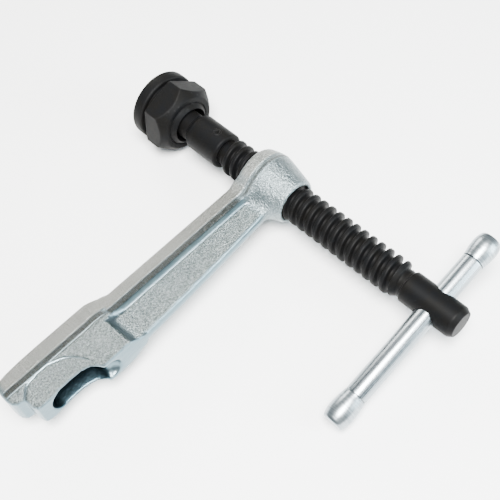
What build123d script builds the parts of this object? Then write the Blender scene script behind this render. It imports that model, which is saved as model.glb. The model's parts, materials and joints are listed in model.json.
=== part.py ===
"""Sliding screw arm of a heavy-duty bar clamp.

X runs along the screw, from the pressure pad to the handle.
Y points from the rail slot to the threaded boss.
Z is normal to the broad face of the arm.
Pieces are drawn with X on the screw axis, then moved so that the origin is the
centre of the rail slot. Units are millimetres.
"""

import os
from math import cos, radians, sin, sqrt, tan

from build123d import *

# Screw thread
THREAD_PITCH = 6.0
THREAD_CREST_R = 11.0
THREAD_ROOT_R = 8.1
THREAD_FLANK_DEG = 15.0
THREAD_CREST_WIDTH = 2.2
THREAD_START_X = -41.4
THREAD_END_X = 90.0
THREAD_CLEARANCE = 0.15
THREAD_EMBED = 0.4
THREAD_FRONT_RUNOUT = 3.0
THREAD_REAR_RUNOUT = 3.4
THREAD_REAR_OVERRUN = 1.8
RUNOUT_MARGIN = 0.1
RUNOUT_FOOT = 0.2

# Spindle shank and head
JOURNAL_R = 7.0
JOURNAL_END_X = -63.0
JOURNAL_CHAMFER = 0.6
RELIEF_R = 7.9
HEAD_NECK_R = 8.1
HEAD_START_X = 93.4
HEAD_END_X = 128.2
HEAD_R = 9.4
HEAD_CHAMFER_LENGTH = 3.0
HEAD_CHAMFER_DEPTH = 1.7
HEAD_SHOULDER_CHAMFER = 0.7

# Handle
HANDLE_X = 110.9
HANDLE_DIP_DEG = 10.7
ROD_R = 6.2
ROD_CLEARANCE = 0.06
HOLE_CHAMFER = 0.3
ROD_LONG_SIDE = 62.6
ROD_SHORT_SIDE = 31.2
LONG_CAP_LENGTH = 18.0
SHORT_CAP_LENGTH = 15.6
CAP_GAP = 0.35
CAP_START_R = 6.45
CAP_BULGE_R = 7.4
CAP_END_R = 6.3
CAP_EDGE_R = 1.2
CAP_BULGE_AT = 0.56
STUB_R = 4.0
STUB_LENGTH = 10.0
STUB_FIT = 0.01
STUB_END_ROOM = 0.5
CAP_INNER_CHAMFER = 0.4

# Ball stud with its sleeve
SLEEVE_R = 11.35
SLEEVE_REAR_X = -45.0
SLEEVE_FRONT_X = -69.3
SLEEVE_NOSE_X = -71.8
SLEEVE_REAR_CHAMFER = 0.9
STUD_NECK_R = 8.8
STUD_BORE_FIT = 0.01
STUD_BORE_END_X = -63.5
STUD_BALL_R = 15.0
STUD_TIP_X = -101.0
STUD_SHOULDER_X = -86.5
STUD_NECK_CHAMFER = 1.5
SLEEVE_NOSE_STEP = 0.4

# Roll pin
PIN_X = -53.3
PIN_ANGLE_DEG = 82.6
PIN_R = 2.4
PIN_BORE_R = 1.25
PIN_LENGTH = 22.0
PIN_SLIT = 0.6
PIN_HOLE_OVERRUN = 4.0

# Swivel
TILT_X = -90.4
SWIVEL_R = 17.5
SWIVEL_BORE_R = 11.6
SWIVEL_REAR_X = -77.4
SWIVEL_CLEARANCE = 0.05

# Gland nut
NUT_CORNER_R = 23.4
NUT_FIRST_CORNER_DEG = 19.8
NUT_FRONT_X = -96.5
NUT_CONE_X = -86.1
NUT_REAR_X = -79.8
NUT_REAR_R = 17.8
NUT_FRONT_CHAMFER = 0.8
NUT_THREAD_R = 18.6
NUT_THREAD_END_X = -85.0
NUT_MOUTH_R = 14.4
NUT_SEAT_DEPTH = 2.0

# Pressure disc
DISC_R = 21.8
DISC_FRONT_X = -107.2
DISC_REAR_X = -99.2
DISC_EDGE_R = 1.4
DISC_BOSS_END_X = -90.8
DISC_THREAD_FIT = 0.02
CUP_CLEARANCE = 0.05
CUP_FLOOR_X = -103.4
DISC_BOSS_CHAMFER = 1.0
DISC_EDGE_SHARE = 0.3

# Threaded boss of the arm
BOSS_FRONT_X = -21.6
BOSS_REAR_X = 12.0
BOSS_MOUTH_CHAMFER = 1.2
BORE_THREAD_FIRST_TURN = 3
BORE_THREAD_TURNS = 7
BOSS_PROFILE = (
    (-21.6, 15.0),
    (-21.2, 16.1),
    (-20.0, 17.0),
    (-12.8, 18.7),
    (-8.9, 18.7),
    (-7.9, 18.1),
    (8.6, 14.4),
    (10.7, 13.6),
    (11.7, 12.6),
    (12.0, 11.9),
)

# How far a cutting shape runs past the faces it cuts
OVERCUT = 1.0
BORE_OVERCUT = 2.0
SEAM = 0.01

# Arm: front flange section as (X, half thickness)
FLANGE_SECTION = (
    (-22.4, 4.4),
    (-22.0, 5.2),
    (-21.0, 5.8),
    (-12.6, 8.2),
    (-12.1, 8.35),
    (-8.9, 8.35),
    (-8.5, 8.0),
    (-7.7, 3.0),
)
FLANGE_START_Y = -13.0
FLANGE_END_Y = -128.0
WEB_HALF = 3.9
WEB_REAR_ROUND = 2.2
WEB_FRONT_X = -12.0
WEB_REAR_LINE = (
    (5.6, -27.0),
    (6.9, -40.0),
    (8.5, -57.0),
    (9.7, -74.0),
    (10.7, -89.0),
    (11.4, -104.0),
    (12.3, -124.0),
    (12.3, -130.0),
)
BOSS_BLEND_LINE = (
    (11.6, -11.0),
    (9.4, -15.2),
    (6.9, -18.6),
    (5.7, -22.2),
    (5.6, -27.0),
)
BLEND_TANGENTS = ((-0.35, -1.0), (0.04, -1.0))
WEB_REAR_MIN_X = 4.0

# Head of the arm around the rail slot
HEAD_SECTION = (
    (-26.4, 4.6),
    (-26.0, 5.7),
    (-25.0, 6.4),
    (-14.6, 9.7),
    (-14.0, 9.9),
    (-11.6, 9.9),
    (-11.0, 9.8),
    (11.4, 9.2),
    (12.2, 8.6),
    (12.4, 7.8),
)
HEAD_UPPER_Y = -116.0
HEAD_LOWER_Y = -189.2
HEAD_PLAN = (
    (-21.9, -114.0),
    (-22.3, -118.0),
    (-23.6, -122.0),
    (-25.6, -126.0),
    (-26.4, -130.0),
    (-26.4, -160.0),
    (-26.0, -170.0),
    (-25.2, -180.0),
    (-24.0, -184.6),
    (-20.6, -187.8),
    (-16.0, -189.2),
    (-11.0, -189.2),
    (-6.6, -187.8),
    (-4.0, -185.2),
    (-2.9, -182.6),
    (-9.0, -177.0),
    (-10.2, -171.0),
    (-10.9, -166.0),
    (-10.5, -161.0),
    (-9.2, -157.6),
    (-7.7, -154.0),
    (-5.0, -150.8),
    (-1.9, -148.0),
    (1.5, -146.0),
    (5.4, -144.4),
    (9.0, -143.4),
    (12.4, -142.0),
    (12.4, -118.0),
)
COLLAR_PLAN = (
    (12.4, -130.0),
    (12.4, -141.4),
    (9.8, -143.6),
    (6.4, -147.4),
    (5.0, -151.9),
    (4.6, -158.0),
    (5.0, -165.8),
    (5.7, -172.0),
    (5.9, -177.5),
    (4.6, -180.6),
    (2.0, -182.2),
    (-2.0, -182.8),
    (-14.0, -183.2),
    (-14.0, -130.0),
)
COLLAR_HALF = 8.9
HEAD_PLAN_HALF = 12.0
# Rise of the head above the web, as (Y, half thickness)
HEAD_RISE = (
    (-112.0, 3.0),
    (-116.0, 3.9),
    (-125.0, 9.6),
    (-127.0, 10.4),
    (-194.2, 10.4),
)
HEAD_OVERLAP = 2.0
HEAD_REACH_X = 40.0
SLOT_CUT_FROM_X = 25.0
SLOT_CUT_TO_X = -35.0
SLOT_TOP_Y = -139.8
SLOT_BOTTOM_Y = -173.4
SLOT_HALF_WIDTH = 7.8
SLOT_RIM_X = 5.0
SLOT_DRAFT_DEG = 5.3
POCKET_R = 7.0
POCKET_X = 14.2
POCKET_Y = -140.4

# Centre of the rail slot, where the origin of the finished part lies
SLOT_CENTRE = (-10.7, (SLOT_TOP_Y + SLOT_BOTTOM_Y) / 2, 0.0)

PARTS_DIR = "parts"


def along_x(shape):
    """Turn a shape built along Z so that its axis is X."""
    return Rot(0, 90, 0) * shape


def turned(profile):
    """Revolve (x, r) points about the X axis, closing the outline on the axis."""
    first, last = profile[0], profile[-1]
    outline = [(first[0], 0.0), *profile, (last[0], 0.0)]
    face = make_face(Polyline(*outline, close=True))
    return revolve(face, axis=Axis.X)


def x_cylinder(radius, start, end):
    """A solid cylinder on the X axis between two stations."""
    return turned(((start, radius), (end, radius)))


def thread_ridge(start, end, grow):
    """One continuous right-hand trapezoidal ridge about X, grown evenly by grow."""
    depth = THREAD_CREST_R - THREAD_ROOT_R
    flank = tan(radians(THREAD_FLANK_DEG))
    inner_r = THREAD_ROOT_R - THREAD_EMBED
    crest_half = THREAD_CREST_WIDTH / 2 + grow
    root_half = crest_half + (depth + THREAD_EMBED + grow) * flank
    crest_r = THREAD_CREST_R + grow
    path = Helix(THREAD_PITCH, end - start, THREAD_ROOT_R)
    section = make_face(
        Polyline(
            (inner_r, 0, -root_half),
            (crest_r, 0, -crest_half),
            (crest_r, 0, crest_half),
            (inner_r, 0, root_half),
            close=True,
        )
    )
    ridge = sweep(section, path=path, is_frenet=True)
    return Pos(start, 0, 0) * along_x(ridge)


def handle_frame():
    """Location at the cross hole whose Z axis points along the long side of the handle."""
    dip = radians(HANDLE_DIP_DEG)
    direction = (0, -cos(dip), -sin(dip))
    return Plane(origin=(HANDLE_X, 0, 0), x_dir=(1, 0, 0), z_dir=direction).location


def build_spindle():
    core = turned(
        (
            (JOURNAL_END_X, JOURNAL_R - JOURNAL_CHAMFER),
            (JOURNAL_END_X + JOURNAL_CHAMFER, JOURNAL_R),
            (SLEEVE_REAR_X, JOURNAL_R),
            (SLEEVE_REAR_X, RELIEF_R),
            (THREAD_START_X, THREAD_ROOT_R),
            (HEAD_START_X, HEAD_NECK_R),
            (HEAD_START_X, HEAD_R - HEAD_SHOULDER_CHAMFER),
            (HEAD_START_X + HEAD_SHOULDER_CHAMFER, HEAD_R),
            (HEAD_END_X - HEAD_CHAMFER_LENGTH, HEAD_R),
            (HEAD_END_X, HEAD_R - HEAD_CHAMFER_DEPTH),
        )
    )
    body = core + thread_ridge(THREAD_START_X, THREAD_END_X, 0.0)
    # The ends of the ridge are cut back to tapered run-outs.
    margin = RUNOUT_MARGIN
    envelope = turned(
        (
            (JOURNAL_END_X - OVERCUT, JOURNAL_R + margin),
            (SLEEVE_REAR_X - SEAM, JOURNAL_R + margin),
            (SLEEVE_REAR_X, RELIEF_R + margin),
            (THREAD_START_X + RUNOUT_FOOT, THREAD_ROOT_R + RUNOUT_FOOT),
            (THREAD_START_X + THREAD_FRONT_RUNOUT, THREAD_CREST_R + margin),
            (THREAD_END_X - THREAD_REAR_RUNOUT, THREAD_CREST_R + margin),
            (THREAD_END_X + THREAD_REAR_OVERRUN, THREAD_ROOT_R + margin),
            (HEAD_START_X - SEAM, THREAD_ROOT_R + margin),
            (HEAD_START_X, THREAD_CREST_R),
            (HEAD_END_X + OVERCUT, THREAD_CREST_R),
        )
    )
    body = body & envelope
    bore_r = ROD_R + ROD_CLEARANCE
    reach = HEAD_R + OVERCUT
    bore = Cylinder(bore_r, 2 * reach)
    mouth_length = HOLE_CHAMFER + OVERCUT
    mouth = Cone(bore_r, bore_r + mouth_length, mouth_length)
    mouth_at = HEAD_R - HOLE_CHAMFER + mouth_length / 2
    bore += Pos(0, 0, mouth_at) * mouth
    bore += Rot(180, 0, 0) * Pos(0, 0, mouth_at) * mouth
    body -= handle_frame() * bore
    return body - pin_hole(PIN_R)


def pin_location():
    """Location at the roll pin with Z along the pin."""
    angle = radians(PIN_ANGLE_DEG)
    direction = (0, cos(angle), sin(angle))
    return Plane(origin=(PIN_X, 0, 0), x_dir=(1, 0, 0), z_dir=direction).location


def pin_hole(radius):
    return pin_location() * Cylinder(radius, 2 * SLEEVE_R + PIN_HOLE_OVERRUN)


def build_roll_pin():
    pin = Cylinder(PIN_R, PIN_LENGTH) - Cylinder(PIN_BORE_R, PIN_LENGTH)
    pin -= Pos(PIN_R, 0, 0) * Box(2 * PIN_R, PIN_SLIT, PIN_LENGTH)
    return pin_location() * pin


def tilt_arc(radius, x_from, x_to):
    """Arc about the tilt centre in the XY plane, between two stations, on the +Y side."""

    def at(x):
        return (x, sqrt(radius**2 - (x - TILT_X) ** 2))

    return ThreePointArc(at(x_from), at((x_from + x_to) / 2), at(x_to))


def run_edges(run):
    """The edges of one run."""
    if not isinstance(run, list):
        return [run]
    return [Line(start, end) for start, end in zip(run, run[1:])]


def revolved(*runs):
    """Revolve a closed outline about X. A run is an edge or a list of (x, r) points."""
    edges = []
    for run in runs:
        edges += run_edges(run)
    joined = list(edges)
    for edge, following in zip(edges, edges[1:] + edges[:1]):
        gap = (edge @ 1) - (following @ 0)
        if gap.length > 1e-6:
            joined.append(Line(edge @ 1, following @ 0))
    return revolve(make_face(Wire(joined)), axis=Axis.X)


def tilt_radius(sphere_r, x):
    """Distance from the X axis to a sphere about the tilt centre, at station x."""
    return sqrt(sphere_r**2 - (x - TILT_X) ** 2)


def build_ball_stud():
    shoulder_r = tilt_radius(STUD_BALL_R, STUD_SHOULDER_X)
    tip_r = tilt_radius(STUD_BALL_R, STUD_TIP_X)
    stud = revolved(
        [(STUD_TIP_X, 0.0), (STUD_TIP_X, tip_r)],
        tilt_arc(STUD_BALL_R, STUD_TIP_X, STUD_SHOULDER_X),
        [
            (STUD_SHOULDER_X, shoulder_r),
            (STUD_SHOULDER_X, STUD_NECK_R + STUD_NECK_CHAMFER),
            (STUD_SHOULDER_X + STUD_NECK_CHAMFER, STUD_NECK_R),
            (SLEEVE_NOSE_X, STUD_NECK_R),
            (SLEEVE_NOSE_X, STUD_NECK_R + SLEEVE_NOSE_STEP),
            (SLEEVE_FRONT_X, SLEEVE_R),
            (SLEEVE_REAR_X - SLEEVE_REAR_CHAMFER, SLEEVE_R),
            (SLEEVE_REAR_X, SLEEVE_R - SLEEVE_REAR_CHAMFER),
            (SLEEVE_REAR_X, 0.0),
        ],
    )
    bore_r = JOURNAL_R + STUD_BORE_FIT
    stud -= x_cylinder(bore_r, STUD_BORE_END_X, SLEEVE_REAR_X + OVERCUT)
    return stud - pin_hole(PIN_R)


def build_swivel_ring():
    front_x = STUD_SHOULDER_X + SWIVEL_CLEARANCE
    return revolved(
        tilt_arc(SWIVEL_R, front_x, SWIVEL_REAR_X),
        [(SWIVEL_REAR_X, SWIVEL_BORE_R), (front_x, SWIVEL_BORE_R)],
    )


def build_gland_nut():
    blank_length = NUT_REAR_X - NUT_FRONT_X
    blank = extrude(RegularPolygon(NUT_CORNER_R, 6), blank_length)
    blank = Rot(NUT_FIRST_CORNER_DEG + 90, 0, 0) * Pos(NUT_FRONT_X, 0, 0) * along_x(blank)
    blank &= turned(
        (
            (NUT_FRONT_X, NUT_CORNER_R - NUT_FRONT_CHAMFER),
            (NUT_FRONT_X + NUT_FRONT_CHAMFER / 2, NUT_CORNER_R),
            (NUT_CONE_X, NUT_CORNER_R),
            (NUT_REAR_X, NUT_REAR_R),
        )
    )
    seat_r = SWIVEL_R + SWIVEL_CLEARANCE
    seat_start_x = NUT_THREAD_END_X - NUT_SEAT_DEPTH
    mouth_x = TILT_X + sqrt(seat_r**2 - NUT_MOUTH_R**2)
    return blank - revolved(
        [
            (NUT_FRONT_X - OVERCUT, 0.0),
            (NUT_FRONT_X - OVERCUT, NUT_THREAD_R),
            (seat_start_x, NUT_THREAD_R),
            (seat_start_x, tilt_radius(seat_r, seat_start_x)),
        ],
        tilt_arc(seat_r, seat_start_x, mouth_x),
        [(NUT_REAR_X + OVERCUT, NUT_MOUTH_R), (NUT_REAR_X + OVERCUT, 0.0)],
    )


def build_pressure_disc():
    boss_r = NUT_THREAD_R - DISC_THREAD_FIT
    cup_r = STUD_BALL_R + CUP_CLEARANCE
    edge = DISC_EDGE_SHARE * DISC_EDGE_R
    return revolved(
        [
            (DISC_FRONT_X, 0.0),
            (DISC_FRONT_X, DISC_R - DISC_EDGE_R),
            (DISC_FRONT_X + edge, DISC_R - edge),
            (DISC_FRONT_X + DISC_EDGE_R, DISC_R),
            (DISC_REAR_X - DISC_EDGE_R, DISC_R),
            (DISC_REAR_X - edge, DISC_R - edge),
            (DISC_REAR_X, DISC_R - DISC_EDGE_R),
            (DISC_REAR_X, boss_r),
            (DISC_BOSS_END_X - DISC_BOSS_CHAMFER, boss_r),
            (DISC_BOSS_END_X, boss_r - DISC_BOSS_CHAMFER),
        ],
        tilt_arc(cup_r, DISC_BOSS_END_X, CUP_FLOOR_X),
        [(CUP_FLOOR_X, tilt_radius(cup_r, CUP_FLOOR_X)), (CUP_FLOOR_X, 0.0)],
    )


def build_handle_rod():
    length = ROD_LONG_SIDE + ROD_SHORT_SIDE
    middle = (ROD_LONG_SIDE - ROD_SHORT_SIDE) / 2
    rod = Pos(0, 0, middle) * Cylinder(ROD_R, length)
    rod += Pos(0, 0, middle) * Cylinder(STUB_R, length + 2 * STUB_LENGTH)
    return handle_frame() * rod


def build_cap(start, length, side):
    """A barrel-shaped end cap whose inner face is at start, pointing to side (+1 or -1)."""
    bulge_at = CAP_GAP + length * CAP_BULGE_AT
    end = CAP_GAP + length
    inner = CAP_INNER_CHAMFER
    outline = [
        Line((0, CAP_GAP), (CAP_START_R - inner, CAP_GAP)),
        Line((CAP_START_R - inner, CAP_GAP), (CAP_START_R, CAP_GAP + inner)),
        Spline(
            (CAP_START_R, CAP_GAP + inner),
            (CAP_BULGE_R, bulge_at),
            (CAP_END_R, end - CAP_EDGE_R),
        ),
        Line((CAP_END_R, end - CAP_EDGE_R), (CAP_END_R - CAP_EDGE_R, end)),
        Line((CAP_END_R - CAP_EDGE_R, end), (0, end)),
        Line((0, end), (0, CAP_GAP)),
    ]
    section = make_face(Plane.XZ * Wire(outline))
    cap = revolve(section, axis=Axis.Z)
    bore_length = STUB_LENGTH + STUB_END_ROOM
    cap -= Pos(0, 0, bore_length / 2) * Cylinder(STUB_R + STUB_FIT, bore_length)
    if side < 0:
        cap = Rot(180, 0, 0) * cap
    return handle_frame() * Pos(0, 0, side * start) * cap


def mirrored_section(points):
    """Close (x, half thickness) points into a face in the XZ plane, symmetric in Z."""
    upper = [(x, 0, z) for x, z in points]
    lower = [(x, 0, -z) for x, z in reversed(points)]
    return make_face(Polyline(*upper, *lower, close=True))


def plan_prism(points, half):
    """A prism of the plan outline, from -half to +half in Z."""
    face = make_face(Polyline(*points, close=True))
    return extrude(Pos(0, 0, -half) * face, 2 * half)


def build_web():
    """Thin web behind the flange, with its rear edges rounded."""
    lower_y = WEB_REAR_LINE[-1][1]
    upper_y = BOSS_BLEND_LINE[0][1]
    outline = [
        Spline(*BOSS_BLEND_LINE, tangents=BLEND_TANGENTS),
        Spline(*WEB_REAR_LINE),
        Line(WEB_REAR_LINE[-1], (WEB_FRONT_X, lower_y)),
        Line((WEB_FRONT_X, lower_y), (WEB_FRONT_X, upper_y)),
        Line((WEB_FRONT_X, upper_y), BOSS_BLEND_LINE[0]),
    ]
    web = extrude(Pos(0, 0, -WEB_HALF) * make_face(Wire(outline)), 2 * WEB_HALF)
    rear_edges = [
        edge
        for edge in web.edges()
        if abs(abs(edge.center().Z) - WEB_HALF) < SEAM
        and edge.center().X > WEB_REAR_MIN_X
        and edge.geom_type != GeomType.LINE
    ]
    return fillet(rear_edges, WEB_REAR_ROUND)


def build_head():
    """Slotted head: its section cut to its plan and to its rise, with the collar."""
    length = HEAD_UPPER_Y - HEAD_LOWER_Y + 2 * HEAD_OVERLAP
    section = Pos(0, HEAD_UPPER_Y + HEAD_OVERLAP, 0) * mirrored_section(HEAD_SECTION)
    head = extrude(section, length, dir=(0, -1, 0))
    head &= plan_prism(HEAD_PLAN, HEAD_PLAN_HALF)
    upper = [(0, y, z) for y, z in HEAD_RISE]
    lower = [(0, y, -z) for y, z in reversed(HEAD_RISE)]
    rise = make_face(Polyline(*upper, *lower, close=True))
    head &= extrude(Pos(-HEAD_REACH_X, 0, 0) * rise, 2 * HEAD_REACH_X, dir=(1, 0, 0))
    return head + plan_prism(COLLAR_PLAN, COLLAR_HALF)


def slot_section(x):
    """Obround of the drafted slot at a station. It is SLOT_HALF_WIDTH wide at the rim."""
    straight = SLOT_TOP_Y - SLOT_BOTTOM_Y - 2 * SLOT_HALF_WIDTH
    half = SLOT_HALF_WIDTH + (x - SLOT_RIM_X) * tan(radians(SLOT_DRAFT_DEG))
    middle_y = (SLOT_TOP_Y + SLOT_BOTTOM_Y) / 2
    section = SlotOverall(straight + 2 * half, 2 * half)
    return Pos(x, middle_y, 0) * Rot(90, 0, 0) * Rot(0, 90, 0) * section


def build_slot():
    """Cutting shape of the slot, drafted so that it narrows towards the front."""
    return loft([slot_section(SLOT_CUT_FROM_X), slot_section(SLOT_CUT_TO_X)], ruled=True)


def cut_threaded_bore(arm):
    """Cut the thread, then its core, then a conical mouth at each face of the boss."""
    grow = THREAD_CLEARANCE
    tool_start = THREAD_START_X + BORE_THREAD_FIRST_TURN * THREAD_PITCH
    tool_end = tool_start + BORE_THREAD_TURNS * THREAD_PITCH
    arm -= thread_ridge(tool_start, tool_end, grow)
    arm -= x_cylinder(THREAD_ROOT_R + grow, BOSS_FRONT_X - BORE_OVERCUT, BOSS_REAR_X + BORE_OVERCUT)
    mouth = THREAD_CREST_R + BOSS_MOUTH_CHAMFER
    depth = mouth - THREAD_ROOT_R
    arm -= turned(
        (
            (BOSS_REAR_X - depth, THREAD_ROOT_R),
            (BOSS_REAR_X, mouth),
            (BOSS_REAR_X + OVERCUT, mouth),
        )
    )
    return arm - turned(
        (
            (BOSS_FRONT_X - OVERCUT, mouth),
            (BOSS_FRONT_X, mouth),
            (BOSS_FRONT_X + depth, THREAD_ROOT_R),
        )
    )


def build_arm():
    span = FLANGE_START_Y - FLANGE_END_Y
    section = Pos(0, FLANGE_START_Y, 0) * mirrored_section(FLANGE_SECTION)
    flange = extrude(section, span, dir=(0, -1, 0))
    arm = turned(BOSS_PROFILE) + flange + build_web() + build_head()
    arm -= build_slot()
    arm -= Pos(POCKET_X, POCKET_Y, 0) * Sphere(POCKET_R)
    return cut_threaded_bore(arm)


def main():
    os.makedirs(PARTS_DIR, exist_ok=True)
    parts = {
        "arm": build_arm(),
        "spindle": build_spindle(),
        "ball_stud": build_ball_stud(),
        "roll_pin": build_roll_pin(),
        "swivel_ring": build_swivel_ring(),
        "gland_nut": build_gland_nut(),
        "pressure_disc": build_pressure_disc(),
        "handle_rod": build_handle_rod(),
        "handle_cap_long": build_cap(ROD_LONG_SIDE, LONG_CAP_LENGTH, 1),
        "handle_cap_short": build_cap(ROD_SHORT_SIDE, SHORT_CAP_LENGTH, -1),
    }
    to_slot = Pos(*(-value for value in SLOT_CENTRE))
    for name, drawn in parts.items():
        shape = to_slot * drawn
        solids = shape.solids()
        print(name, len(solids), [round(solid.volume) for solid in solids], shape.is_valid)
        export_step(shape, f"{PARTS_DIR}/{name}.step")


if __name__ == "__main__":
    main()
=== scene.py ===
"""Visible surfaces and finishes of a sliding screw arm for a bar clamp.

Shapes are written in drawing coordinates: millimetres, with X along the screw and the
origin on the screw axis inside the boss. In the arm, "a" is the distance from the screw
axis down the arm, so a = -Y. Meshes are moved to the part's own frame when they are made.
"""

import json
import math

import bmesh
import bpy
import numpy as np
from mathutils import Matrix, Vector


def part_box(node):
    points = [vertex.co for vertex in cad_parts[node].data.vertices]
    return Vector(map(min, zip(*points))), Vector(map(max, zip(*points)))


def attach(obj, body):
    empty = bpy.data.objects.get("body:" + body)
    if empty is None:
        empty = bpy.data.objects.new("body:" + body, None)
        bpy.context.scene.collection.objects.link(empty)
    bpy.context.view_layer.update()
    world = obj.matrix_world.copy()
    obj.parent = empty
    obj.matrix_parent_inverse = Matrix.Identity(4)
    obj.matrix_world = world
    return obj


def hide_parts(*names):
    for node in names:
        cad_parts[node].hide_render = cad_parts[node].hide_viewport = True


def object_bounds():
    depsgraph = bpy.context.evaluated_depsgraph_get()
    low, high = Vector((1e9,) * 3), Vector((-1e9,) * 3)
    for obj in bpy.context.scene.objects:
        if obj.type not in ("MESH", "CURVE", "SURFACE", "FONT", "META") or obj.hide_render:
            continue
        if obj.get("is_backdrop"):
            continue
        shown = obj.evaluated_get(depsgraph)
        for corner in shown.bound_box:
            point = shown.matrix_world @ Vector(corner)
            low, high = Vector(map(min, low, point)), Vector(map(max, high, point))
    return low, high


bl_info = {
    "name": "Clamp arm",
    "version": (1, 0, 0),
    "blender": (4, 5, 0),
    "location": "View3D > Sidebar > Clamp arm",
    "description": "Builds the surfaces and finishes of a sliding screw arm for a bar clamp",
    "category": "Object",
}

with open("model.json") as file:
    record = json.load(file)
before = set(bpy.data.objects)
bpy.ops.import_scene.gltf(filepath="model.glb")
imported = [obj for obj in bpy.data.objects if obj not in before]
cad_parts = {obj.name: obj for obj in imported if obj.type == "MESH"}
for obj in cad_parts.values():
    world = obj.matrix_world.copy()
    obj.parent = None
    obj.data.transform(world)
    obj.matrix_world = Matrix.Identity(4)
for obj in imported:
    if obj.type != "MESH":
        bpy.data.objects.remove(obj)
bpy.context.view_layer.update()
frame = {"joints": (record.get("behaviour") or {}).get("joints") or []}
JOINTS = {joint["name"]: joint for joint in frame["joints"]}
SCREW_POINT = np.array(JOINTS["screw_turn"]["pos_m"])
HANDLE_AXIS = np.array(JOINTS["handle_slide"]["axis"])
MM = 0.001
CHAMFER_SLOPE = 0.7071


def drawn_x(metres):
    """A station along the part's X axis, in drawing millimetres."""
    return (metres - SCREW_POINT[0]) / MM


def node_x_range(node):
    """First and last station of a node, in drawing millimetres."""
    low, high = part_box(node)
    return drawn_x(low.x), drawn_x(high.x)


TILT_X = drawn_x(JOINTS["pad_tilt"]["pos_m"][0])
ARM_FRONT_X, ARM_REAR_X = node_x_range("arm")
HANDLE_X = sum(node_x_range("handle_rod")) / 2
NUT_FRONT_X, NUT_REAR_X = node_x_range("gland_nut")
DISC_FRONT_X, DISC_END_X = node_x_range("pressure_disc")
STUD_TIP_X, SLEEVE_REAR_X = node_x_range("ball_stud")
SPINDLE_HEAD_X = node_x_range("spindle")[1]
SLOT_CENTRE_A = float(SCREW_POINT[1]) / MM
ARM_LENGTH = SLOT_CENTRE_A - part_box("arm")[0].y / MM


# ---------------------------------------------------------------- shape tools


def smooth_min(first, second, blend):
    """The smaller of two fields, with a parabolic blend where they differ by under blend."""
    share = np.clip(0.5 + 0.5 * (second - first) / blend, 0.0, 1.0)
    return second * (1 - share) + first * share - blend * share * (1 - share)


def smooth_max(blend, *fields):
    """The largest of several fields, blended pair by pair."""
    result = fields[0]
    for field in fields[1:]:
        result = -smooth_min(-result, -field, blend)
    return result


def slope(along, across, start, end):
    """Signed distance from the straight line through two points, positive on its left
    when walking from end to start: the cross product of the line's unit direction with
    the offset from its end."""
    run = np.subtract(end, start)
    run = run / np.hypot(*run)
    return run[0] * (across - end[1]) - run[1] * (along - end[0])


def polygon_distance(u, v, corners):
    """Signed distance from a closed outline: the least distance from any of its edges,
    negative where a ray to the right crosses the outline an odd number of times."""
    corners = np.asarray(corners, float)
    least = np.full(np.broadcast(u, v).shape, np.inf)
    inside = np.zeros(least.shape, bool)
    for (u0, v0), (u1, v1) in zip(corners, np.roll(corners, -1, axis=0)):
        du, dv = u1 - u0, v1 - v0
        share = np.clip(((u - u0) * du + (v - v0) * dv) / (du * du + dv * dv), 0, 1)
        least = np.minimum(least, np.hypot(u - u0 - share * du, v - v0 - share * dv))
        if dv:
            crosses = (v0 > v) != (v1 > v)
            inside ^= crosses & (u < u0 + (v - v0) * du / dv)
    return np.where(inside, -least, least)


def gradient(field, points, step=0.02):
    """Central differences of a field at rows of points."""
    parts = []
    for axis in range(3):
        shift = np.zeros(3)
        shift[axis] = step
        ahead = field(*(points + shift).T)
        behind = field(*(points - shift).T)
        parts.append((ahead - behind) / (2 * step))
    return np.stack(parts, axis=1)


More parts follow.
